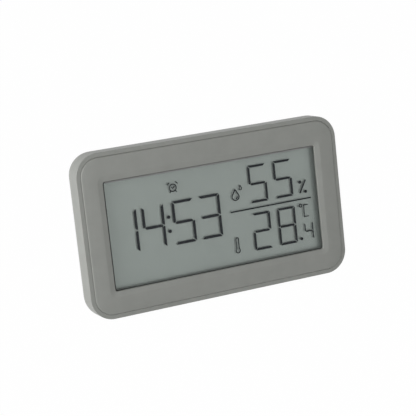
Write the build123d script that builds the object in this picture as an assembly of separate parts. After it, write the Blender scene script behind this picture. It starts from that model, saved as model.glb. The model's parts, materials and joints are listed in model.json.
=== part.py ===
from build123d import *
from math import acos, cos, hypot, radians, sin
import os

# A table clock with thermometer and hygrometer, in millimetres.
# It is drawn in its slab frame: x to the right, y up the face, z out of the face towards the viewer,
# with z = 0 at the front rim of the rear shell. At the end it is leant back and set on its feet.

# Display pattern, time digits
time_digit_width = 7.62
time_digit_height = 15.25
time_stroke = 0.95
time_pitch = 10.68
colon_room = 1.33
colon_dot = 1.3
colon_spread = 5.24
time_lift = 0.18

# Display pattern, humidity and temperature rows
row_digit_width = 6.67
row_digit_height = 13.38
row_stroke = 0.8
row_pitch = 10.66
row_indent = 9.05
row_gap = 4.74
unit_room = 7.72
separator_thickness = 0.45
bar_gap_share = 0.25
bar_tip_share = 0.17

# Display pattern, small signs
percent_dot = 1.2
percent_stroke = 0.6
percent_indent = 3.6
percent_run = 2.1
percent_rise = 4.2
percent_foot = 0.3
decimal_dot = 1.15
decimal_gap = 0.62
unit_stroke = 0.35
unit_letter_width = 1.88
unit_letter_height = 4.5
unit_letter_gap = 1.31
small_digit_width = 3.26
small_digit_height = 6.2
small_stroke = 0.43
degree_radius = 0.75
degree_indent = 4.8
drop_radius = 1.62
drop_height = 3.05
drop_stroke = 0.38
drop_indent = 1.05
drop_rise = 3.24
gleam_gap = 0.35
gleam_stroke = 0.28
droplet_radius = 0.66
droplet_height = 1.5
droplet_stroke = 0.25
droplet_sink = 0.33
tube_width = 1.4
tube_length = 6.1
tube_indent = 0.45
bulb_radius = 1.02
tube_stroke = 0.33
alarm_radius = 1.5
alarm_stroke = 0.35
alarm_indent = 0.7
alarm_rise = 5.45
alarm_foot_x = 1.08
alarm_foot_y = 1.35
alarm_foot_length = 0.9
alarm_foot_turn = 40.0
alarm_bell_x = 1.62
alarm_bell_y = 1.7
alarm_bell_length = 1.28
alarm_bell_turn = 42.0
alarm_hand_stroke = 0.28
alarm_hands = [(-0.63, 0.33), (-0.08, -0.23), (0.72, 0.57)]

# Margins from the pattern to the window's edges
margin_left = 3.54
block_gap = 3.97
margin_right = 2.25
margin_top = 3.73
margin_bottom = 3.98

# Room from the window out to the case's sides
glass_margin_x = 2.1
glass_margin_y = 3.0
lcd_fit = 0.2
chassis_wall = 1.0
boss_gap = 0.1
boss_radius = 1.9
case_gap = 0.2
space_top = 4.31
space_bottom = 3.49
side_wall = 2.2

# Stack of thicknesses from the rim to the rear face
lip_rise = 0.25
lip_thickness = 0.8
gasket_thickness = 0.4
polarizer_thickness = 0.2
glass_thickness = 0.6
ink_thickness = 0.1
reflector_thickness = 0.3
guide_thickness = 3.15
chassis_floor = 1.0
board_standoff = 0.3
board_thickness = 1.0
contact_height = 0.4
coin_thickness = 3.2
door_room = 0.6
rear_wall = 1.6

# Case and bezel
corner_radius = 8.5
rear_round = 7.8
rim_width = 1.6
rim_round = 0.12
rim_edge_round = 0.2
bezel_gap = 0.05
bezel_rise = 0.35
bezel_seat = 1.5
bezel_edge_round = 0.5
crown_width = 5.0
crown_inner_slope = 1.5
crown_outer_slope = 5.5
bevel_width = 2.1
bevel_corner = 2.4
bevel_round = 1.5
window_corner = 0.9
lip_round = 0.3
gasket_width = 1.6
gasket_fit = 0.15
gasket_show = 0.2
gasket_shift = 0.35
polarizer_inset = 0.5
ledge_width = 2.69
seal_width = 1.2
lean_angle = 14.0

# Stand
hinge_y = 8.0
leg_width = 30.0
leg_thickness = 2.6
leg_gap = 0.3
leg_side_gap = 0.4
barrel_radius = 1.9
barrel_gap = 0.3
pin_radius = 0.8
pin_clearance = 0.05
press_clearance = 0.01
heel_length = 4.0
heel_set = 0.3
stop_clearance = 0.03
open_angle = 30.0
toe_reach = 3.5
pocket_wall = 1.0
pocket_side_wall = 1.5
tub_gap = 0.3
pad_length = 24.0
pad_width = 2.0
pad_depth = 0.5
pad_proud = 0.5
pad_edge = 0.4
pad_fit = 0.05

# Feet under the bottom edge
foot_length = 24.0
foot_width = 3.0
foot_depth = 0.8
foot_proud = 0.5
foot_fit = 0.05
foot_margin = 1.0

# Board and what sits on it
board_margin = 3.0
stake_radius = 0.8
stake_head_radius = 1.4
stake_head_height = 0.6
stake_pad_radius = 2.0
stake_fit = 0.1
stake_inset = 3.0
zebra_length = 60.0
zebra_width = 2.0
zebra_fit = 0.3
zebra_edge = 0.3
blob_radius = 4.5
blob_height = 1.2
blob_round = 0.9
blob_y = -6.0
crystal_radius = 1.0
crystal_length = 6.0
crystal_x = -22.0
crystal_y = -8.0
sensor_length = 5.0
sensor_width = 4.0
sensor_height = 1.3
sensor_hole = 0.8
thermistor_radius = 0.7
thermistor_length = 3.4
buzzer_side = 8.0
buzzer_height = 1.9
buzzer_hole = 1.0
part_gap = 2.0
chip_length = 1.6
chip_width = 0.8
chip_height = 0.6
chip_count = 8
chip_pitch = 3.4

# Buttons
button_x = -31.0
button_y = 1.0
button_pitch = 10.0
button_radius = 3.0
button_fit = 0.2
button_proud = 0.4
button_round = 0.35
button_stop_gap = 0.03
flange_radius = 3.9
flange_thickness = 0.8
stem_radius = 1.6
switch_side = 4.5
switch_height = 1.8
plunger_radius = 1.1
plunger_fit = 0.1
plunger_proud = 0.75
plunger_depth = 0.4
button_travel = 0.3
travel_room = 0.2

# Coin cell and its door
coin_y = 3.0
coin_radius = 10.0
coin_shoulder = 1.4
coin_step = 0.3
board_screw_gap = 1.9
holder_fit = 0.2
holder_wall = 1.0
holder_height = 3.0
holder_gap = 5.0
contact_sheet = 0.2
contact_width = 4.0
contact_fit = 0.02
contact_foot = 2.2
leaf_length = 13.0
leaf_bump_radius = 1.2
door_margin = 2.0
door_fit = 0.2
lug_reach = 1.4
lug_thickness = 0.8
lug_angle = 30.0
lug_gap = 0.05
lug_notch_fit = 0.2
lug_notch_angle = 36.0
lug_start = 75.0
door_turn = 40.0
door_ring_wall = 1.0
door_rib_wall = 1.2
door_rib_gap = 0.1
stop_angle = 5.0
stop_gap_angle = 1.0
coin_slot_length = 13.0
coin_slot_width = 1.8
coin_slot_depth = 0.8

# Vents
vent_count = 9
vent_pitch = 3.0
vent_width = 1.2
vent_length = 5.6
vent_gap = 0.4

# Screws
case_screw_inset_x = 4.2
case_screw_inset_y = 4.9
case_screw_radius = 1.0
case_screw_head_radius = 2.0
case_screw_head = 1.5
case_screw_recess = 2.1
case_screw_recess_radius = 2.4
case_screw_skin = 0.4
post_radius = 3.0
post_floor = 2.5
chassis_boss_radius = 2.6
chassis_screw_y = 13.0
chassis_screw_radius = 0.8
chassis_screw_head_radius = 1.6
chassis_screw_head = 1.0
chassis_screw_depth = 3.3
thread_clearance = 0.02
hole_clearance = 0.2
driver_slot_width = 0.5
driver_slot_depth = 0.5
tip_room = 0.2

# Depths worked out from the stack
lip_front = lip_rise
gasket_front = lip_front - lip_thickness
polarizer_front = gasket_front - gasket_thickness
glass_front = polarizer_front - polarizer_thickness
ink_front = glass_front - glass_thickness
rear_glass_front = ink_front - ink_thickness
reflector_front = rear_glass_front - glass_thickness
guide_front = reflector_front - reflector_thickness
chassis_front = guide_front - guide_thickness
chassis_back = chassis_front - chassis_floor
board_front = chassis_back - board_standoff
board_back = board_front - board_thickness
coin_front = board_back - contact_height
coin_back = coin_front - coin_thickness
inner_back = coin_back - door_room
case_back = inner_back - rear_wall

# Widths and heights worked out from the pattern and the room around it
time_width = 3 * time_pitch + colon_room + time_digit_width + time_stroke
reading_width = row_indent + row_pitch + row_digit_width + unit_room
window_width = margin_left + time_width + block_gap + reading_width + margin_right
rows_height = 2 * row_digit_height + row_gap + row_stroke
window_height = margin_bottom + rows_height + margin_top
glass_width = window_width + 2 * glass_margin_x
glass_height = window_height + 2 * glass_margin_y
chassis_width = glass_width + 2 * (lcd_fit + chassis_wall)
chassis_height = glass_height + 2 * (lcd_fit + chassis_wall)
case_width = chassis_width + 2 * (boss_gap + 2 * boss_radius + case_gap + side_wall)
case_height = chassis_height + space_bottom + space_top + 2 * side_wall
window_y = (space_bottom - space_top) / 2
chassis_low = window_y - chassis_height / 2
chassis_high = window_y + chassis_height / 2

# Places worked out from those
window_left = -window_width / 2
window_right = window_width / 2
time_left = window_left + margin_left
time_y = window_y + time_lift
reading_left = window_right - margin_right - reading_width
digit_a = reading_left + row_indent + row_digit_width / 2
digit_b = digit_a + row_pitch
unit_left = digit_b + row_digit_width / 2
humidity_y = window_y + window_height / 2 - margin_top - row_stroke / 2 - row_digit_height / 2
temperature_y = humidity_y - row_digit_height - row_gap
separator_y = (humidity_y + temperature_y) / 2
boss_x = chassis_width / 2 + boss_gap + boss_radius
board_right = boss_x - chassis_screw_head_radius - board_screw_gap
holder_radius = coin_radius + holder_fit + holder_wall
coin_x = board_right - board_margin - holder_radius
coin_step_radius = coin_radius - coin_shoulder
door_radius = coin_radius + door_margin
door_ring_radius = door_radius - door_ring_wall
door_rib_radius = coin_radius / 2
lug_radius = door_radius + lug_reach
case_screw_x = chassis_width / 2 - case_screw_inset_x
case_screw_high = chassis_high - case_screw_inset_y
case_screw_low = chassis_low + case_screw_inset_y
post_front = case_back + case_screw_recess + post_floor
switch_back = board_back - switch_height
stem_front = switch_back - plunger_proud
zebra_high = window_y + glass_height / 2 - zebra_edge
zebra_low = zebra_high - zebra_width
heel_sweep = hypot(heel_length, barrel_radius) + leg_gap
vent_y = hinge_y + heel_sweep + pocket_wall + vent_gap + max(vent_length, buzzer_side) / 2
board_left = button_x - switch_side / 2 - board_margin - 2 * stake_inset
board_low = coin_y - holder_radius - 2 * board_margin
board_shoulder = coin_y + holder_radius + board_margin / 2
board_top_half = zebra_length / 2 + 2 * board_margin

# Crown of the bezel's face: an arc that starts nearly level and steepens to the outer edge
crown_radius = crown_width / (sin(radians(crown_outer_slope)) - sin(radians(crown_inner_slope)))
crown_drop = crown_radius * (cos(radians(crown_inner_slope)) - cos(radians(crown_outer_slope)))
bezel_crest = bezel_rise + crown_drop

# Stand places: pin axis, fillet centre under the bottom edge, and the open leg's reach to the floor
pin_z = case_back + barrel_radius
pocket_floor = case_back + leg_thickness + leg_gap
leg_inner = case_back + leg_thickness
round_y = -case_height / 2 + rear_round
round_z = case_back + rear_round
lean = radians(lean_angle)
leg_tilt = radians(open_angle - lean_angle)
pin_height = (hinge_y - round_y) * cos(lean) + (pin_z - round_z) * sin(lean) + rear_round + foot_proud
toe_distance = pin_height - pad_proud
toe_inner = leg_inner + toe_reach
pocket_step = chassis_low - tub_gap - pocket_wall
toe_start = pocket_step - leg_gap
far = case_height


# Basic shapes between two depths
def plate(width, height, radius, front, back, x=0.0, y=0.0):
    outline = RectangleRounded(width, height, radius) if radius > 0 else Rectangle(width, height)
    return extrude(Pos(x, y, back) * outline, front - back)


def window_plate(front, back, wider=0.0):
    width = window_width + 2 * wider
    height = window_height + 2 * wider
    return plate(width, height, window_corner, front, back, 0, window_y)


def rod(radius, front, back, x=0.0, y=0.0):
    return Pos(x, y, (front + back) / 2) * Cylinder(radius, front - back)


def block(x0, x1, y0, y1, front, back):
    centre = Pos((x0 + x1) / 2, (y0 + y1) / 2, (front + back) / 2)
    return centre * Box(x1 - x0, y1 - y0, front - back)


def cross_rod(radius, length, y, z):
    return Pos(0, y, z) * Rot(0, 90, 0) * Cylinder(radius, length)


def side_profile(face, half_width):
    return extrude(Plane.YZ * face, half_width, both=True)


def rear_edges(body):
    return body.faces().sort_by(Axis.Z)[0].edges()


def ring_sector(outer, inner, front, back, start, angle):
    wedge = Pos(0, 0, (front + back) / 2) * Rot(0, 0, start) * Cylinder(outer, front - back, arc_size=angle)
    return wedge - rod(inner, front, back)


# Case outline and its hollow
def case_body():
    body = plate(case_width, case_height, corner_radius, 0, case_back)
    return fillet(rear_edges(body), rear_round)


def case_hollow():
    width = case_width - 2 * side_wall
    height = case_height - 2 * side_wall
    body = plate(width, height, corner_radius - side_wall, 0, inner_back)
    return fillet(rear_edges(body), rear_round - side_wall)


def case_screw_places():
    return [(sx * case_screw_x, y) for sx in (-1, 1) for y in (case_screw_low, case_screw_high)]


def chassis_screw_places():
    return [(sx * boss_x, window_y + sy * chassis_screw_y) for sx in (-1, 1) for sy in (-1, 1)]


def stake_places():
    low = board_low + stake_inset
    high = zebra_low
    outer_left = board_left + stake_inset
    outer_right = board_right - stake_inset
    upper = board_top_half - stake_inset
    return [(outer_left, low), (outer_right, low), (-upper, high), (upper, high)]


def button_places():
    return [button_y + button_pitch, button_y, button_y - button_pitch]


# Pocket for the stand, in side view: toe well, floor, and the sloping land that stops the heel
def ramp_point(along, lift):
    turn = radians(open_angle)
    y = hinge_y + along * cos(turn) - lift * sin(turn)
    z = pin_z + along * sin(turn) + lift * cos(turn)
    return (y, z)


def pocket_outline():
    lift = stop_clearance - heel_set
    ramp_end = ramp_point(heel_length + leg_gap, lift)
    points = [
        (-far, case_back - far),
        (-far, toe_inner + leg_gap),
        (pocket_step, toe_inner + leg_gap),
        (pocket_step, pocket_floor),
        (hinge_y, pocket_floor),
        ramp_point(0, lift),
        ramp_end,
        (hinge_y + heel_sweep, ramp_end[1]),
        (hinge_y + heel_sweep, case_back - far),
    ]
    return Polygon(*points, align=None)


def pocket_tub(body):
    outline = offset(pocket_outline(), pocket_wall, kind=Kind.INTERSECTION)
    walls = side_profile(outline, leg_width / 2 + leg_side_gap + pocket_side_wall)
    cheek = leg_width + 2 * (leg_side_gap + pocket_side_wall)
    walls += cross_rod(barrel_radius + barrel_gap + pocket_wall, cheek, hinge_y, pin_z)
    return walls & body


def pocket_cut():
    width = leg_width + 2 * leg_side_gap
    cut = side_profile(pocket_outline(), width / 2)
    cut += cross_rod(barrel_radius + barrel_gap, width, hinge_y, pin_z)
    return cut + cross_rod(pin_radius + press_clearance, case_width / 2, hinge_y, pin_z)


# Feet: a slot and a rubber strip, square to the floor once the clock leans
def foot_plane(side):
    x = side * (case_width / 2 - corner_radius - foot_margin - foot_length / 2)
    origin = (x, round_y - rear_round * cos(lean), round_z - rear_round * sin(lean))
    return Plane(origin=origin, x_dir=(1, 0, 0), z_dir=(0, -cos(lean), -sin(lean)))


def foot_strip(side, fit=0.0):
    outline = SlotOverall(foot_length + 2 * fit, foot_width + 2 * fit)
    return extrude(foot_plane(side).offset(-foot_depth) * outline, foot_depth + foot_proud)


# Rear shell with pocket, posts, vents, button holes and the door's bayonet seat
def bayonet_cut():
    cut = rod(door_radius + door_fit, inner_back, case_back)
    reach = lug_radius + lug_notch_fit
    slack = (lug_notch_angle - lug_angle) / 2
    for turn in (0, 180):
        start = lug_start - door_turn - slack + turn
        cut += ring_sector(reach, door_radius, inner_back, case_back, start, lug_notch_angle)
    return Pos(coin_x, coin_y) * cut


def bayonet_stops():
    front = inner_back + lug_gap + lug_thickness
    inner = door_radius + 2 * door_fit
    closed = lug_start + lug_angle + stop_gap_angle
    opened = lug_start - door_turn - stop_gap_angle - stop_angle
    stops = []
    for start in (closed, opened, closed + 180, opened + 180):
        stop = ring_sector(lug_radius, inner, front, inner_back, start, stop_angle)
        stops.append(Pos(coin_x, coin_y) * stop)
    return stops


def rear_shell(body):
    shell = body - case_hollow()
    lip_width = case_width - 2 * rim_width
    lip_height = case_height - 2 * rim_width
    shell -= plate(lip_width, lip_height, corner_radius - rim_width, 0, -bezel_seat)
    shell = fillet(shell.faces().sort_by(Axis.Z)[-1].inner_wires()[0].edges(), rim_round)
    shell = fillet(shell.faces().sort_by(Axis.Z)[-1].outer_wire().edges(), rim_edge_round)
    shell += pocket_tub(body)
    for x, y in case_screw_places():
        shell += rod(post_radius, post_front, case_back, x, y)
    shell -= pocket_cut()
    for stop in bayonet_stops():
        shell += stop
    shell -= bayonet_cut()
    for x, y in case_screw_places():
        shell -= rod(case_screw_recess_radius, case_back + case_screw_recess, case_back, x, y)
        shell -= rod(case_screw_radius + hole_clearance, post_front, case_back, x, y)
    for y in button_places():
        shell -= rod(button_radius + button_fit, inner_back, case_back, button_x, y)
    for i in range(vent_count):
        x = (i - (vent_count - 1) / 2) * vent_pitch
        slit = SlotOverall(vent_length, vent_width, rotation=90)
        shell -= extrude(Pos(x, vent_y, case_back) * slit, rear_wall)
    for side in (-1, 1):
        shell -= foot_strip(side, foot_fit)
    return shell


# Crown cutter: what lies above the face's arc, carried round the bezel's outer edge
def crown_point(inward):
    reach = crown_radius * sin(radians(crown_outer_slope)) - inward
    level = crown_radius * cos(radians(crown_inner_slope))
    return (inward, (crown_radius**2 - reach**2) ** 0.5 - level)


def crown_cut(outline):
    edge = outline.wire()
    ends = crown_point(-bezel_gap), crown_point(crown_width)
    arc = ThreePointArc(ends[0], crown_point(crown_width / 2), ends[1])
    roof = Polyline(ends[1], (crown_width, bezel_crest), (-bezel_gap, bezel_crest), ends[0])
    tangent = edge % 0
    inward = Vector(0, 0, 1).cross(tangent)
    section = Plane(origin=edge @ 0, x_dir=inward, z_dir=tangent) * make_face([arc, roof])
    return sweep(section, path=edge)


# Front bezel: raised frame with a bevel down to the window, bosses behind
def front_bezel():
    inset = rim_width + bezel_gap
    width = case_width - 2 * inset
    height = case_height - 2 * inset
    frame = plate(width, height, corner_radius - inset, bezel_crest, -bezel_seat)
    frame -= crown_cut(Pos(0, 0, bezel_crest) * RectangleRounded(width, height, corner_radius - inset))
    outer = frame.edges().filter_by(lambda e: abs((e @ 0.5).Z - bezel_rise) < bezel_edge_round / 4)
    frame = fillet(outer, bezel_edge_round)
    lower = Pos(0, window_y, lip_front) * RectangleRounded(window_width, window_height, window_corner)
    flare = 2 * bevel_width
    upper = RectangleRounded(window_width + flare, window_height + flare, bevel_corner)
    frame -= loft([lower, Pos(0, window_y, bezel_crest) * upper], ruled=True)
    crest = frame.faces().sort_by(Axis.Z)[-1].inner_wires()[0].edges()
    frame = fillet(crest, bevel_round)
    frame -= window_plate(bezel_crest, -bezel_seat)
    frame = fillet(frame.edges().filter_by(lambda e: abs((e @ 0.5).Z - lip_front) < lip_round / 4), lip_round)
    frame -= window_plate(gasket_front, -bezel_seat, gasket_width + gasket_fit)
    room = 2 * lcd_fit
    frame -= plate(glass_width + room, glass_height + room, 0, polarizer_front, -bezel_seat, 0, window_y)
    for x, y in chassis_screw_places():
        frame += rod(boss_radius, -bezel_seat, chassis_front, x, y)
        tip = chassis_front + chassis_screw_depth + tip_room
        frame -= rod(chassis_screw_radius + thread_clearance, tip, chassis_front, x, y)
    return frame


# Display sandwich
def lcd_gasket():
    ring = window_plate(gasket_front, polarizer_front, gasket_width)
    return ring - Pos(gasket_shift, 0) * window_plate(gasket_front, polarizer_front, -gasket_show)


def lcd_polarizer():
    width = glass_width - 2 * polarizer_inset
    height = glass_height - 2 * polarizer_inset
    return plate(width, height, 0, polarizer_front, glass_front, 0, window_y)


def rear_sheet(front, back, inset=0.0):
    low = window_y - glass_height / 2 + inset
    high = window_y + glass_height / 2 - ledge_width - inset
    return block(inset - glass_width / 2, glass_width / 2 - inset, low, high, front, back)


def lcd_seal():
    return rear_sheet(ink_front, rear_glass_front) - rear_sheet(ink_front, rear_glass_front, seal_width)


# Bars of one digit: a top, b upper right, c lower right, d bottom, e lower left, f upper left, g middle
digit_bars = {"1": "bc", "2": "abdeg", "3": "abcdg", "4": "bcfg", "5": "acdfg", "8": "abcdefg"}


def bar_outline(bar, width, height, stroke):
    w, h, s = width / 2, height / 2, stroke / 2
    g, t = bar_gap_share * stroke, bar_tip_share * stroke
    end = [(w + s - g - t, h + s), (w + s - g - t, h + s - t), (w - s - g, h - s)]
    level = end + [(-x, y) for x, y in reversed(end)]
    top = h + s - g - t
    upright = [(w + s, top), (w + s, g), (w, g), (w - s, s + g), (w - s, h - s - g), (w + s - t, top)]
    nose = [(w - s - g, -s), (w - g - t, -t), (w - g - t, t), (w - s - g, s)]
    middle = nose + [(-x, -y) for x, y in nose]
    points = {"a": level, "d": level, "g": middle}.get(bar, upright)
    flip_x = -1 if bar in "ef" else 1
    flip_y = -1 if bar in "cde" else 1
    return Polygon(*[(flip_x * x, flip_y * y) for x, y in points], align=None)


def digit(value, x, y, width, height, stroke):
    return [Pos(x, y) * bar_outline(bar, width, height, stroke) for bar in digit_bars[value]]


def stroke_path(points, stroke):
    return trace(Polyline(*points), line_width=stroke)


# Time, colon and alarm sign
def time_signs():
    faces = []
    first = time_left + time_stroke / 2 + time_digit_width / 2
    places = [first, first + time_pitch, first + 2 * time_pitch + colon_room]
    places.append(places[2] + time_pitch)
    for value, x in zip("1453", places):
        faces += digit(value, x, time_y, time_digit_width, time_digit_height, time_stroke)
    colon_x = (places[1] + places[2]) / 2
    for side in (-1, 1):
        faces.append(Pos(colon_x, time_y + side * colon_spread / 2) * Circle(colon_dot / 2))
    alarm_x = places[2] - time_digit_width / 2 + alarm_indent
    alarm_y = time_y + time_digit_height / 2 + alarm_rise
    return faces + [Pos(alarm_x, alarm_y) * face for face in alarm_sign()]


def alarm_sign():
    inner = Circle(alarm_radius - alarm_stroke)
    ring = Circle(alarm_radius) - inner
    bells = []
    for side in (-1, 1):
        foot = Rot(0, 0, side * alarm_foot_turn) * Rectangle(alarm_stroke, alarm_foot_length)
        ring += Pos(side * alarm_foot_x, -alarm_foot_y) * foot - inner
        bell = Rot(0, 0, -side * alarm_bell_turn) * Rectangle(alarm_bell_length, alarm_stroke)
        bells.append(Pos(side * alarm_bell_x, alarm_bell_y) * bell)
    return [ring, stroke_path(alarm_hands, alarm_hand_stroke)] + bells


# Humidity row with drop signs and percent sign
def tear_face(radius, height):
    turn = acos(radius / height)
    side = (radius * sin(turn), radius * cos(turn))
    roof = Polygon((0, height), side, (0, 0), (-side[0], side[1]), align=None)
    return roof + Circle(radius)


def tear_ring(radius, height, stroke):
    inner = radius - stroke
    return tear_face(radius, height) - tear_face(inner, height * inner / radius)


def humidity_signs():
    faces = []
    for x in (digit_a, digit_b):
        faces += digit("5", x, humidity_y, row_digit_width, row_digit_height, row_stroke)
    low = humidity_y - row_digit_height / 2
    drop_x = reading_left + drop_radius + drop_indent
    drop_y = low + drop_rise
    faces.append(Pos(drop_x, drop_y) * tear_ring(drop_radius, drop_height, drop_stroke))
    gleam_radius = drop_radius - drop_stroke - gleam_gap
    gleam = Circle(gleam_radius) - Circle(gleam_radius - gleam_stroke)
    corner = Pos(drop_radius / 2, -drop_radius / 2) * Rectangle(drop_radius, drop_radius)
    faces.append(Pos(drop_x, drop_y) * (gleam & corner))
    droplet_y = drop_y + drop_height - droplet_sink
    droplet_x = drop_x + drop_radius + droplet_radius
    faces.append(Pos(droplet_x, droplet_y) * tear_ring(droplet_radius, droplet_height, droplet_stroke))
    left = unit_left + percent_indent
    right = left + percent_run
    upper = low + percent_rise
    faces.append(Pos(left, upper) * Circle(percent_dot / 2))
    faces.append(Pos(right, low + percent_foot) * Circle(percent_dot / 2))
    slash = [(left - percent_foot, low), (right + percent_foot, upper + percent_dot / 2)]
    return faces + [stroke_path(slash, percent_stroke)]


# Temperature row with thermometer sign, unit sign and the small decimal digit
def temperature_signs():
    faces = []
    for value, x in (("2", digit_a), ("8", digit_b)):
        faces += digit(value, x, temperature_y, row_digit_width, row_digit_height, row_stroke)
    low = temperature_y - row_digit_height / 2
    high = temperature_y + row_digit_height / 2
    point_x = unit_left + row_stroke / 2 + decimal_gap + decimal_dot
    faces.append(Pos(point_x, low + decimal_gap) * Circle(decimal_dot / 2))
    small_x = unit_left + unit_room - small_stroke - small_digit_width / 2
    small_y = low + small_digit_height / 2
    faces += digit("4", small_x, small_y, small_digit_width, small_digit_height, small_stroke)
    degree_x = unit_left + unit_room - degree_indent
    degree = Circle(degree_radius) - Circle(degree_radius - unit_stroke)
    faces.append(Pos(degree_x, high) * degree)
    left = degree_x + unit_letter_gap
    right = left + unit_letter_width
    base = high - unit_letter_height
    faces.append(stroke_path([(right, high), (left, high), (left, base), (right, base)], unit_stroke))
    tube_x = reading_left + bulb_radius + tube_indent
    return faces + [Pos(tube_x, low + bulb_radius) * thermometer_sign()]


def thermometer_sign():
    middle = tube_length / 2 - bulb_radius
    outer = Pos(0, middle) * SlotOverall(tube_length, tube_width, rotation=90) + Circle(bulb_radius)
    thin = 2 * tube_stroke
    inner = Pos(0, middle) * SlotOverall(tube_length - thin, tube_width - thin, rotation=90)
    return outer - (inner + Circle(bulb_radius - tube_stroke))


def lcd_segments():
    faces = time_signs() + humidity_signs() + temperature_signs()
    line = Rectangle(reading_width, separator_thickness)
    faces.append(Pos(reading_left + reading_width / 2, separator_y) * line)
    solids = []
    for face in [face for sign in faces for face in sign.faces()]:
        upward = face if face.normal_at().Z > 0 else -face
        solids.append(extrude(Pos(0, 0, rear_glass_front) * upward, ink_thickness).solid())
    return Compound(children=solids)


# Chassis: tray around the display, with screw ears, bosses and stakes for the board
def chassis():
    rim_front = -bezel_seat - lcd_fit
    tray = plate(chassis_width, chassis_height, chassis_wall, rim_front, chassis_back, 0, window_y)
    room = 2 * lcd_fit
    tray -= plate(glass_width + room, glass_height + room, 0, rim_front, chassis_front, 0, window_y)
    for x, y in chassis_screw_places():
        side = 1 if x > 0 else -1
        inner, outer = sorted((side * chassis_width / 2 - side * chassis_wall, x))
        ear = block(inner, outer, y - boss_radius, y + boss_radius, chassis_front, chassis_back)
        tray += ear + rod(boss_radius, chassis_front, chassis_back, x, y)
        tray -= rod(chassis_screw_radius + hole_clearance, chassis_front, chassis_back, x, y)
    for x, y in case_screw_places():
        tray += rod(chassis_boss_radius, chassis_back, post_front, x, y)
        tray -= rod(case_screw_radius + thread_clearance, chassis_front - case_screw_skin, post_front, x, y)
    for x, y in stake_places():
        tray += rod(stake_pad_radius, chassis_back, board_front, x, y)
        tray += rod(stake_radius, board_front, board_back, x, y)
        tray += rod(stake_head_radius, board_back, board_back - stake_head_height, x, y)
    slot = zebra_length / 2 + zebra_fit
    low = zebra_low - zebra_fit
    return tray - block(-slot, slot, low, zebra_high + zebra_edge, chassis_front, chassis_back)


# Board and its components
def main_board():
    board = block(board_left, board_right, board_low, board_shoulder, board_front, board_back)
    top = zebra_high + zebra_edge
    board += block(-board_top_half, board_top_half, board_low, top, board_front, board_back)
    for x, y in stake_places():
        board -= rod(stake_radius + stake_fit, board_front, board_back, x, y)
    return board


def zebra_strip():
    return block(-zebra_length / 2, zebra_length / 2, zebra_low, zebra_high, ink_front, board_front)


def controller_blob():
    blob = rod(blob_radius, board_back, board_back - blob_height, 0, blob_y)
    return fillet(rear_edges(blob), blob_round)


def clock_crystal():
    can = Rot(90, 0, 0) * Cylinder(crystal_radius, crystal_length)
    return Pos(crystal_x, crystal_y, board_back - crystal_radius) * can


def humidity_sensor():
    x = -thermistor_length / 2 - part_gap - sensor_length / 2
    back = board_back - sensor_height
    body = plate(sensor_length, sensor_width, 0, board_back, back, x, vent_y)
    return body - rod(sensor_hole, board_back - sensor_height / 2, back, x, vent_y)


def thermistor():
    bead = Rot(0, 90, 0) * Cylinder(thermistor_radius, thermistor_length)
    return Pos(0, vent_y, board_back - thermistor_radius) * bead


def buzzer():
    x = thermistor_length / 2 + part_gap + buzzer_side / 2
    back = board_back - buzzer_height
    body = plate(buzzer_side, buzzer_side, 0, board_back, back, x, vent_y)
    return body - rod(buzzer_hole, board_back - buzzer_height / 2, back, x, vent_y)


def chip_components():
    y = blob_y - blob_radius - chip_length
    solids = []
    for i in range(chip_count):
        x = (i - (chip_count - 1) / 2) * chip_pitch
        solids.append(plate(chip_width, chip_length, 0, board_back, board_back - chip_height, x, y))
    return Compound(children=[s for part in solids for s in part.solids()])


# Buttons with their switches
def switch_body(y):
    body = plate(switch_side, switch_side, 0, board_back, switch_back, button_x, y)
    well = switch_back + plunger_depth + button_travel + travel_room
    return body - rod(plunger_radius + plunger_fit, well, switch_back, button_x, y)


def switch_plunger(y):
    return rod(plunger_radius, switch_back + plunger_depth, stem_front, button_x, y)


def button_cap(y):
    flange_back = inner_back + button_stop_gap
    flange_front = flange_back + flange_thickness
    cap = rod(button_radius, flange_back, case_back - button_proud, button_x, y)
    cap = fillet(rear_edges(cap), button_round)
    cap += rod(flange_radius, flange_front, flange_back, button_x, y)
    return cap + rod(stem_radius, stem_front, flange_front, button_x, y)


# Coin cell, holder and contacts
def coin_cell():
    cell = rod(coin_radius, coin_front - coin_step, coin_back, coin_x, coin_y)
    return cell + rod(coin_step_radius, coin_front, coin_front - coin_step, coin_x, coin_y)


def cell_holder():
    back = board_back - holder_height
    ring = rod(holder_radius, board_back, back, coin_x, coin_y)
    ring -= rod(holder_radius - holder_wall, board_back, back, coin_x, coin_y)
    low = coin_y - holder_gap / 2
    return ring - block(coin_x - coin_radius - far, coin_x, low, low + holder_gap, board_back, back)


def positive_contact():
    face = coin_x - coin_radius - contact_fit
    low = coin_y - contact_width / 2
    high = coin_y + contact_width / 2
    upright = block(face - contact_sheet, face, low, high, board_back, board_back - holder_height)
    return upright + block(face - contact_foot, face, low, high, board_back, board_back - contact_sheet)


def negative_contact():
    leaf = plate(leaf_length, contact_width, 0, board_back, board_back - contact_sheet, coin_x, coin_y)
    for side in (-1, 1):
        x = coin_x + side * leaf_length / 4
        leaf += rod(leaf_bump_radius, board_back, coin_front, x, coin_y)
    return leaf


def battery_door():
    lug_back = inner_back + lug_gap
    lug_front = lug_back + lug_thickness
    door = rod(door_radius, lug_front, case_back) - rod(door_ring_radius, lug_front, inner_back)
    for turn in (0, 180):
        door += ring_sector(lug_radius, door_ring_radius, lug_front, lug_back, lug_start + turn, lug_angle)
    rib_front = coin_back - door_rib_gap
    door += rod(door_rib_radius, rib_front, inner_back)
    door -= rod(door_rib_radius - door_rib_wall, rib_front, inner_back)
    slot = SlotOverall(coin_slot_length, coin_slot_width)
    door -= extrude(Pos(0, 0, case_back) * slot, coin_slot_depth)
    return Pos(coin_x, coin_y) * door


# Stand, drawn folded shut and then swung open about its pin
def toe_end(z):
    return hinge_y - (toe_distance - (z - pin_z) * sin(leg_tilt)) / cos(leg_tilt)


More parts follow.
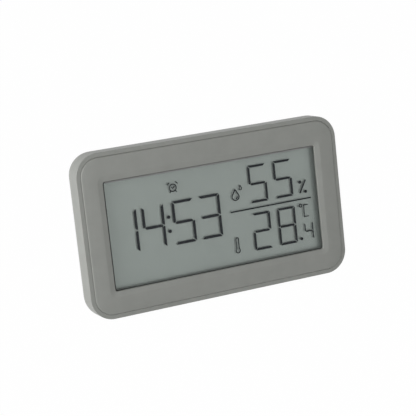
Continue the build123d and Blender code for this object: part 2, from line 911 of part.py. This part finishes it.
def pad_plane():
    slide = pad_edge + pad_width / 2
    y = toe_end(toe_inner) - slide * sin(leg_tilt)
    z = toe_inner - slide * cos(leg_tilt)
    return Plane(origin=(0, y, z), x_dir=(1, 0, 0), z_dir=(0, -cos(leg_tilt), sin(leg_tilt)))


def stand_pad(fit=0.0):
    outline = Rectangle(pad_length + 2 * fit, pad_width + 2 * fit)
    return extrude(pad_plane().offset(-pad_depth) * outline, pad_depth + pad_proud)


def stand_leg(body):
    points = [
        (hinge_y + heel_length, case_back - far),
        (hinge_y + heel_length, pin_z - heel_set),
        (hinge_y, pin_z - heel_set),
        (hinge_y, leg_inner),
        (toe_start, leg_inner),
        (toe_start, toe_inner),
        (toe_end(toe_inner), toe_inner),
        (toe_end(case_back - far), case_back - far),
    ]
    leg = side_profile(Polygon(*points, align=None), leg_width / 2)
    leg = (leg + cross_rod(barrel_radius, leg_width, hinge_y, pin_z)) & body
    leg -= cross_rod(pin_radius + pin_clearance, leg_width, hinge_y, pin_z)
    return leg - stand_pad(pad_fit)


def swing_open(shape):
    return shape.rotate(Axis((0, hinge_y, pin_z), (1, 0, 0)), open_angle)


def stand_pin():
    length = leg_width + 2 * (leg_side_gap + pocket_side_wall)
    return cross_rod(pin_radius, length, hinge_y, pin_z)


# Screws, heads towards the rear
def screw(radius, head_radius, head, front, seat, x, y):
    body = rod(radius, front, seat, x, y) + rod(head_radius, seat, seat - head, x, y)
    slot = plate(2 * head_radius, driver_slot_width, 0, seat - head + driver_slot_depth, seat - head, x, y)
    return body - slot


def case_screws():
    seat = case_back + case_screw_recess
    front = chassis_front - case_screw_skin - tip_room
    sizes = (case_screw_radius, case_screw_head_radius, case_screw_head, front, seat)
    return Compound(children=[screw(*sizes, x, y).solid() for x, y in case_screw_places()])


def chassis_screws():
    front = chassis_front + chassis_screw_depth
    sizes = (chassis_screw_radius, chassis_screw_head_radius, chassis_screw_head, front, chassis_back)
    return Compound(children=[screw(*sizes, x, y).solid() for x, y in chassis_screw_places()])


# All pieces in the slab frame
def build_pieces():
    body = case_body()
    pieces = {
        "front_bezel": front_bezel(),
        "rear_shell": rear_shell(body),
        "lcd_gasket": lcd_gasket(),
        "lcd_polarizer": lcd_polarizer(),
        "lcd_front_glass": plate(glass_width, glass_height, 0, glass_front, ink_front, 0, window_y),
        "lcd_segments": lcd_segments(),
        "lcd_seal": lcd_seal(),
        "lcd_rear_glass": rear_sheet(rear_glass_front, reflector_front),
        "lcd_reflector": rear_sheet(reflector_front, guide_front),
        "light_guide": rear_sheet(guide_front, chassis_front),
        "zebra_strip": zebra_strip(),
        "chassis": chassis(),
        "main_board": main_board(),
        "controller_blob": controller_blob(),
        "clock_crystal": clock_crystal(),
        "humidity_sensor": humidity_sensor(),
        "thermistor": thermistor(),
        "buzzer": buzzer(),
        "chip_components": chip_components(),
        "coin_cell": coin_cell(),
        "cell_holder": cell_holder(),
        "positive_contact": positive_contact(),
        "negative_contact": negative_contact(),
        "battery_door": battery_door(),
        "stand_leg": swing_open(stand_leg(body)),
        "stand_pad": swing_open(stand_pad()),
        "stand_pin": stand_pin(),
        "base_feet": Compound(children=[foot_strip(side).solid() for side in (-1, 1)]),
        "case_screws": case_screws(),
        "chassis_screws": chassis_screws(),
    }
    for name, y in zip(("set", "up", "down"), button_places()):
        pieces[name + "_switch"] = switch_body(y)
        pieces[name + "_plunger"] = switch_plunger(y)
        pieces[name + "_button"] = button_cap(y)
    return pieces


# Lean the clock back and centre it over its lowest point
def lean_back(pieces):
    turn = Rot(90 - lean_angle, 0, 0)
    boxes = [(turn * piece).bounding_box() for piece in pieces.values()]
    middle_x = (min(box.min.X for box in boxes) + max(box.max.X for box in boxes)) / 2
    middle_y = (min(box.min.Y for box in boxes) + max(box.max.Y for box in boxes)) / 2
    floor = min(box.min.Z for box in boxes)
    return Pos(-middle_x, -middle_y, -floor) * turn


slab_pieces = build_pieces()
place = lean_back(slab_pieces)
os.makedirs("parts", exist_ok=True)
for name, piece in slab_pieces.items():
    export_step(place * piece, "parts/" + name + ".step")
print("case", round(case_width, 2), round(case_height, 2), round(-case_back, 2), "nodes", len(slab_pieces))
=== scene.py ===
import bpy
import json
import numpy as np
from math import cos, pi, radians, sin
from mathutils import Matrix, Vector

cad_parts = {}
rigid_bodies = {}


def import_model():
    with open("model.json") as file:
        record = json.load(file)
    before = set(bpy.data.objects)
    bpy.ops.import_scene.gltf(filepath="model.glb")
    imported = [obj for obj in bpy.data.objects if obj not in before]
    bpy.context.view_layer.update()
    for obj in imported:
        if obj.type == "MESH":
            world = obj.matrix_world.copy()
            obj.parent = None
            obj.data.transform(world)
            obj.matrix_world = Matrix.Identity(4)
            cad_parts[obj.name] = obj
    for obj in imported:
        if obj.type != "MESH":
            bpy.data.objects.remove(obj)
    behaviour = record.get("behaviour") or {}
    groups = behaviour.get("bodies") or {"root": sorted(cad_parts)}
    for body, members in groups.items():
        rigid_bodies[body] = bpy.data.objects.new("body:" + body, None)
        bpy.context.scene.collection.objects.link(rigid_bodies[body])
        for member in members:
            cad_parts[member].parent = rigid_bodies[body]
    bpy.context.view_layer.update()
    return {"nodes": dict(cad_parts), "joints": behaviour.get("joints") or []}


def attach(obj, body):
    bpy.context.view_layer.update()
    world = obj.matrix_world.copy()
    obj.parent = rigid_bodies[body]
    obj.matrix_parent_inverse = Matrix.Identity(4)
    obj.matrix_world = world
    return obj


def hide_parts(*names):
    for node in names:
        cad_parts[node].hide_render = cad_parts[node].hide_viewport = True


for leftover in list(bpy.data.objects):
    bpy.data.objects.remove(leftover)

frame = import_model()
nodes = frame["nodes"]
print("frame loaded:", len(nodes), "nodes")

# the clock's face: its lean, and the middle of its rim plane found from the stand's hinge
face = {"lean": 14.0, "hingeUp": 0.008, "hingeOut": -0.0121}
leanAngle = radians(face["lean"])
faceRight = np.array([1.0, 0.0, 0.0])
faceUp = np.array([0.0, sin(leanAngle), cos(leanAngle)])
faceOut = np.array([0.0, -cos(leanAngle), sin(leanAngle)])
hinge = next(joint for joint in frame["joints"] if joint["name"] == "stand_hinge")
rimCentre = np.array(hinge["pos_m"]) - face["hingeUp"] * faceUp - face["hingeOut"] * faceOut

# camera, seen a little from the left and above
view = {
    "azimuth": -25.91,
    "elevation": 22.88,
    "focalPixels": 1500.2,
    "imagePixels": 416,
    "distance": 0.552,
    "aside": 0.00327,
    "above": -0.00278,
    "sensorWidth": 36.0,
    "nearest": 0.01,
}


def makeCamera():
    turn = radians(view["azimuth"])
    rise = radians(view["elevation"])
    right = np.array([cos(turn), sin(turn), 0.0])
    back = np.array([sin(turn) * cos(rise), -cos(turn) * cos(rise), sin(rise)])
    up = np.cross(back, right)
    spot = rimCentre + back * view["distance"] - right * view["aside"] - up * view["above"]
    lens = bpy.data.cameras.new("camera")
    lens.sensor_fit = "HORIZONTAL"
    lens.sensor_width = view["sensorWidth"]
    lens.lens = view["sensorWidth"] * view["focalPixels"] / view["imagePixels"]
    lens.clip_start = view["nearest"]
    camera = bpy.data.objects.new("camera", lens)
    bpy.context.scene.collection.objects.link(camera)
    turned = Matrix(np.column_stack([right, up, back]).tolist()).to_4x4()
    camera.matrix_world = Matrix.Translation(Vector(spot)) @ turned
    bpy.context.scene.camera = camera


makeCamera()
print("camera placed")

# soft studio light: each lamp by where it stands, its width and the level it gives square on
lamps = {
    "leftBox": {"spot": (-0.9, -0.3, 0.35), "width": 0.5, "level": 0.51},
    "sideBox": {"spot": (-0.95, 0.25, 0.2), "width": 0.3, "level": 0.33},
    "frontBox": {"spot": (-0.25, -1.0, 0.4), "width": 0.6, "level": 0.27},
}
lampAim = Vector((0.0, 0.0, 0.03))
room = {"ambient": 0.21, "backdrop": 1.0}


def makeLamp(name, setting):
    spot = Vector(setting["spot"])
    reach = (spot - lampAim).length
    lamp = bpy.data.lights.new(name, "AREA")
    lamp.shape = "SQUARE"
    lamp.size = setting["width"]
    lamp.energy = setting["level"] * pi * pi * reach**2
    holder = bpy.data.objects.new(name, lamp)
    bpy.context.scene.collection.objects.link(holder)
    holder.location = spot
    holder.rotation_euler = (lampAim - spot).to_track_quat("-Z", "Y").to_euler()


def seenDirectly(tree):
    rays = tree.nodes.new("ShaderNodeLightPath")
    glossy = tree.nodes.new("ShaderNodeMath")
    glossy.operation = "MAXIMUM"
    tree.links.new(rays.outputs["Is Camera Ray"], glossy.inputs[0])
    tree.links.new(rays.outputs["Is Glossy Ray"], glossy.inputs[1])
    through = tree.nodes.new("ShaderNodeMath")
    through.operation = "MAXIMUM"
    tree.links.new(glossy.outputs[0], through.inputs[0])
    tree.links.new(rays.outputs["Is Transmission Ray"], through.inputs[1])
    return through.outputs[0]


def makeRoom():
    world = bpy.data.worlds.new("room")
    bpy.context.scene.world = world
    world.use_nodes = True
    tree = world.node_tree
    tree.nodes.clear()
    ambient = tree.nodes.new("ShaderNodeBackground")
    ambient.inputs["Strength"].default_value = room["ambient"]
    backdrop = tree.nodes.new("ShaderNodeBackground")
    backdrop.inputs["Strength"].default_value = room["backdrop"]
    for background in (ambient, backdrop):
        background.inputs["Color"].default_value = (1.0, 1.0, 1.0, 1.0)
    mix = tree.nodes.new("ShaderNodeMixShader")
    output = tree.nodes.new("ShaderNodeOutputWorld")
    tree.links.new(seenDirectly(tree), mix.inputs[0])
    tree.links.new(ambient.outputs[0], mix.inputs[1])
    tree.links.new(backdrop.outputs[0], mix.inputs[2])
    tree.links.new(mix.outputs[0], output.inputs["Surface"])


floorSetting = {"half": 4.0, "pale": 0.8, "lift": 0.99}


def makeFloor():
    half = floorSetting["half"]
    corners = [(-half, -half, 0.0), (half, -half, 0.0), (half, half, 0.0), (-half, half, 0.0)]
    mesh = bpy.data.meshes.new("floor")
    mesh.from_pydata(corners, [], [(0, 1, 2, 3)])
    floor = bpy.data.objects.new("floor", mesh)
    bpy.context.scene.collection.objects.link(floor)
    paper = bpy.data.materials.new("floorPaper")
    paper.use_nodes = True
    tree = paper.node_tree
    tree.nodes.clear()
    matt = tree.nodes.new("ShaderNodeBsdfDiffuse")
    matt.inputs["Color"].default_value = (floorSetting["pale"],) * 3 + (1.0,)
    white = tree.nodes.new("ShaderNodeEmission")
    share = tree.nodes.new("ShaderNodeMath")
    share.operation = "MULTIPLY"
    share.inputs[1].default_value = floorSetting["lift"]
    mix = tree.nodes.new("ShaderNodeMixShader")
    output = tree.nodes.new("ShaderNodeOutputMaterial")
    tree.links.new(seenDirectly(tree), share.inputs[0])
    tree.links.new(share.outputs[0], mix.inputs[0])
    tree.links.new(matt.outputs[0], mix.inputs[1])
    tree.links.new(white.outputs[0], mix.inputs[2])
    tree.links.new(mix.outputs[0], output.inputs["Surface"])
    mesh.materials.append(paper)


for lampName, lampSetting in lamps.items():
    makeLamp(lampName, lampSetting)
makeRoom()
makeFloor()
bpy.context.scene.view_settings.view_transform = "Standard"
print("light and floor ready")

# finishes: two close tones mixed by a cloudy noise, fine grain in bump and roughness
mixing = {"cloudDetail": 4.0, "grainDetail": 2.0, "stops": (0.3, 0.7), "bumpDepth": 0.00005}
finishes = {
    "casePlastic": {"tones": ((0.263, 0.271, 0.252), (0.283, 0.29, 0.271)), "cloud": 180.0, "grain": 3500.0,
                    "bump": 0.12, "rough": (0.36, 0.46)},
    "buttonPlastic": {"tones": ((0.16, 0.165, 0.16), (0.18, 0.185, 0.18)), "cloud": 250.0, "grain": 3500.0,
                      "bump": 0.1, "rough": (0.45, 0.55)},
    "gasketFoam": {"tones": ((0.034, 0.034, 0.034), (0.05, 0.05, 0.049)), "cloud": 900.0, "grain": 2500.0,
                   "bump": 0.3, "rough": (0.8, 0.95)},
    "displayFilm": {"tones": ((0.3, 0.32, 0.31), (0.33, 0.35, 0.34)), "cloud": 40.0, "grain": 6000.0,
                    "bump": 0.05, "rough": (0.45, 0.55), "alpha": 0.03},
    "displayInk": {"tones": ((0.010, 0.012, 0.015), (0.016, 0.018, 0.022)), "cloud": 400.0, "grain": 5000.0,
                   "bump": 0.02, "rough": (0.5, 0.6), "shine": 0.15},
    "sealGlue": {"tones": ((0.26, 0.26, 0.26), (0.3, 0.3, 0.3)), "cloud": 500.0, "grain": 3000.0,
                 "bump": 0.05, "rough": (0.4, 0.5)},
    "reflectorSheet": {"tones": ((0.278, 0.313, 0.294), (0.288, 0.323, 0.304)), "cloud": 60.0,
                       "grain": 5000.0, "bump": 0.03, "rough": (0.3, 0.36), "metal": 0.45},
    "guideAcrylic": {"tones": ((0.74, 0.76, 0.75), (0.8, 0.82, 0.81)), "cloud": 200.0, "grain": 2500.0,
                     "bump": 0.03, "rough": (0.12, 0.2)},
    "zebraRubber": {"tones": ((0.05, 0.05, 0.055), (0.3, 0.3, 0.32)), "cloud": 1500.0, "grain": 2000.0,
                    "bump": 0.1, "rough": (0.7, 0.8)},
    "chassisPlastic": {"tones": ((0.7, 0.7, 0.67), (0.76, 0.76, 0.73)), "cloud": 150.0, "grain": 2500.0,
                       "bump": 0.1, "rough": (0.45, 0.55)},
    "boardMask": {"tones": ((0.02, 0.17, 0.07), (0.035, 0.24, 0.11)), "cloud": 350.0, "grain": 2500.0,
                  "bump": 0.08, "rough": (0.2, 0.35)},
    "blackResin": {"tones": ((0.01, 0.01, 0.01), (0.02, 0.02, 0.02)), "cloud": 300.0, "grain": 1500.0,
                   "bump": 0.08, "rough": (0.2, 0.35)},
    "whitePlastic": {"tones": ((0.74, 0.74, 0.71), (0.8, 0.8, 0.77)), "cloud": 300.0, "grain": 2500.0,
                     "bump": 0.05, "rough": (0.4, 0.5)},
    "darkPlastic": {"tones": ((0.02, 0.02, 0.02), (0.035, 0.035, 0.035)), "cloud": 300.0, "grain": 2500.0,
                    "bump": 0.08, "rough": (0.4, 0.55)},
    "chipCeramic": {"tones": ((0.35, 0.25, 0.15), (0.5, 0.38, 0.24)), "cloud": 600.0, "grain": 3000.0,
                    "bump": 0.05, "rough": (0.5, 0.6)},
    "platedSteel": {"tones": ((0.6, 0.6, 0.58), (0.7, 0.7, 0.68)), "cloud": 500.0, "grain": 2500.0,
                    "bump": 0.05, "rough": (0.22, 0.38), "metal": 1.0, "stretch": (1.0, 12.0, 12.0)},
    "zincScrew": {"tones": ((0.42, 0.42, 0.42), (0.55, 0.55, 0.54)), "cloud": 700.0, "grain": 2500.0,
                  "bump": 0.08, "rough": (0.3, 0.45), "metal": 1.0, "stretch": (6.0, 6.0, 1.0)},
    "padRubber": {"tones": ((0.018, 0.018, 0.018), (0.03, 0.03, 0.03)), "cloud": 500.0, "grain": 1800.0,
                  "bump": 0.2, "rough": (0.7, 0.85)},
}
coats = {
    "casePlastic": ["front_bezel", "rear_shell", "stand_leg", "battery_door"],
    "buttonPlastic": ["set_button", "up_button", "down_button",
                      "set_plunger", "up_plunger", "down_plunger"],
    "gasketFoam": ["lcd_gasket"],
    "displayFilm": [],
    "displayInk": ["lcd_segments"],
    "sealGlue": ["lcd_seal"],
    "reflectorSheet": ["lcd_reflector"],
    "guideAcrylic": ["light_guide"],
    "zebraRubber": ["zebra_strip"],
    "chassisPlastic": ["chassis"],
    "boardMask": ["main_board"],
    "blackResin": ["controller_blob", "thermistor"],
    "whitePlastic": ["humidity_sensor"],
    "darkPlastic": ["buzzer", "cell_holder", "set_switch", "up_switch", "down_switch"],
    "chipCeramic": ["chip_components"],
    "platedSteel": ["clock_crystal", "coin_cell", "positive_contact", "negative_contact", "stand_pin"],
    "zincScrew": ["case_screws", "chassis_screws"],
    "padRubber": ["stand_pad", "base_feet"],
}


def makeFinish(name, setting):
    finish = bpy.data.materials.new(name)
    finish.use_nodes = True
    tree = finish.node_tree
    shader = tree.nodes["Principled BSDF"]
    place = tree.nodes.new("ShaderNodeTexCoord")
    mapping = tree.nodes.new("ShaderNodeMapping")
    mapping.inputs["Scale"].default_value = setting.get("stretch", (1.0, 1.0, 1.0))
    tree.links.new(place.outputs["Object"], mapping.inputs["Vector"])
    cloud = tree.nodes.new("ShaderNodeTexNoise")
    cloud.inputs["Scale"].default_value = setting["cloud"]
    cloud.inputs["Detail"].default_value = mixing["cloudDetail"]
    grain = tree.nodes.new("ShaderNodeTexNoise")
    grain.inputs["Scale"].default_value = setting["grain"]
    grain.inputs["Detail"].default_value = mixing["grainDetail"]
    for noise in (cloud, grain):
        tree.links.new(mapping.outputs["Vector"], noise.inputs["Vector"])
    ramp = tree.nodes.new("ShaderNodeValToRGB")
    for stop, position, tone in zip(ramp.color_ramp.elements, mixing["stops"], setting["tones"]):
        stop.position = position
        stop.color = tone + (1.0,)
    tree.links.new(cloud.outputs["Fac"], ramp.inputs["Fac"])
    tree.links.new(ramp.outputs["Color"], shader.inputs["Base Color"])
    spread = tree.nodes.new("ShaderNodeMapRange")
    spread.inputs["To Min"].default_value = setting["rough"][0]
    spread.inputs["To Max"].default_value = setting["rough"][1]
    tree.links.new(grain.outputs["Fac"], spread.inputs["Value"])
    tree.links.new(spread.outputs["Result"], shader.inputs["Roughness"])
    shader.inputs["Metallic"].default_value = setting.get("metal", 0.0)
    shader.inputs["Specular IOR Level"].default_value = setting.get("shine", 0.5)
    shader.inputs["Alpha"].default_value = setting.get("alpha", 1.0)
    bump = tree.nodes.new("ShaderNodeBump")
    bump.inputs["Strength"].default_value = setting["bump"]
    bump.inputs["Distance"].default_value = mixing["bumpDepth"]
    tree.links.new(grain.outputs["Fac"], bump.inputs["Height"])
    tree.links.new(bump.outputs["Normal"], shader.inputs["Normal"])
    return finish


madeFinishes = {}
for finishName, finishSetting in finishes.items():
    finish = makeFinish(finishName, finishSetting)
    madeFinishes[finishName] = finish
    for nodeName in coats[finishName]:
        nodes[nodeName].data.materials.clear()
        nodes[nodeName].data.materials.append(finish)
print("finishes laid on", sum(len(names) for names in coats.values()), "nodes")


# outlines: a rounded rectangle's corners as four quarter circles, one row of points per ring
def roundedRings(halfWide, halfHigh, corner, middle, depth, steps):
    rows = np.broadcast_arrays(halfWide, halfHigh, corner, middle, depth)
    wide, high, bend, centre, level = [row[:, None, None] for row in rows]
    quarter = np.arange(4)[:, None]
    angle = (quarter + np.linspace(0.0, 1.0, steps)[None, :]) * pi / 2
    signX = np.array([1.0, -1.0, -1.0, 1.0])[None, :, None]
    signY = np.array([1.0, 1.0, -1.0, -1.0])[None, :, None]
    x = signX * (wide - bend) + bend * np.cos(angle)[None]
    y = centre + signY * (high - bend) + bend * np.sin(angle)[None]
    z = np.broadcast_to(level, x.shape)
    return np.stack([x, y, z], axis=-1).reshape(len(level), -1, 3)


millimetre = 0.001


# slab millimetres to metres in the shared frame
def toFrame(points):
    across = points[..., :1] * faceRight
    upward = points[..., 1:2] * faceUp
    outward = points[..., 2:] * faceOut
    return rimCentre + millimetre * (across + upward + outward)


# mesh from rings: a quad between each pair of neighbours, and a flat cap on the first and last ring
def ringMesh(name, rings, sharpAngle):
    count, around = rings.shape[:2]
    index = np.arange(count * around).reshape(count, around)
    turned = np.roll(index, -1, axis=1)
    quads = np.stack([index[:-1], turned[:-1], turned[1:], index[1:]], axis=-1).reshape(-1, 4)
    polygons = quads.tolist() + [index[0][::-1].tolist(), index[-1].tolist()]
    mesh = bpy.data.meshes.new(name)
    mesh.from_pydata(toFrame(rings).reshape(-1, 3).tolist(), [], polygons)
    mesh.polygons.foreach_set("use_smooth", np.ones(len(polygons), bool))
    mesh.set_sharp_from_angle(angle=radians(sharpAngle))
    piece = bpy.data.objects.new(name, mesh)
    bpy.context.scene.collection.objects.link(piece)
    return piece


# clear stack of the display in one piece: front film and glass full size, rear glass lower by its ledge
clearStack = {"halfWide": 44.5, "halfHigh": 22.5, "middle": -0.41,
              "front": -0.95, "step": -1.75, "back": -2.4,
              "rearTop": 19.8, "edge": 0.1, "corner": 0.3, "cornerSteps": 4, "sharpAngle": 30.0}


def makeClearStack():
    s = clearStack
    low = s["middle"] - s["halfHigh"]
    rearHalf = (s["rearTop"] - low) / 2
    rearMiddle = (s["rearTop"] + low) / 2
    halfWide = np.array([s["halfWide"] - s["edge"]] + [s["halfWide"]] * 4)
    halfHigh = np.array([s["halfHigh"] - s["edge"], s["halfHigh"], s["halfHigh"], rearHalf, rearHalf])
    middle = np.array([s["middle"], s["middle"], s["middle"], rearMiddle, rearMiddle])
    depth = np.array([s["front"], s["front"] - s["edge"], s["step"], s["step"], s["back"]])
    rings = roundedRings(halfWide, halfHigh, s["corner"], middle, depth, s["cornerSteps"])
    stack = ringMesh("display_stack", rings[::-1], s["sharpAngle"])
    stack.data.materials.append(madeFinishes["displayFilm"])
    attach(stack, "case")
    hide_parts("lcd_polarizer", "lcd_front_glass", "lcd_rear_glass")


makeClearStack()
print("clear stack made")
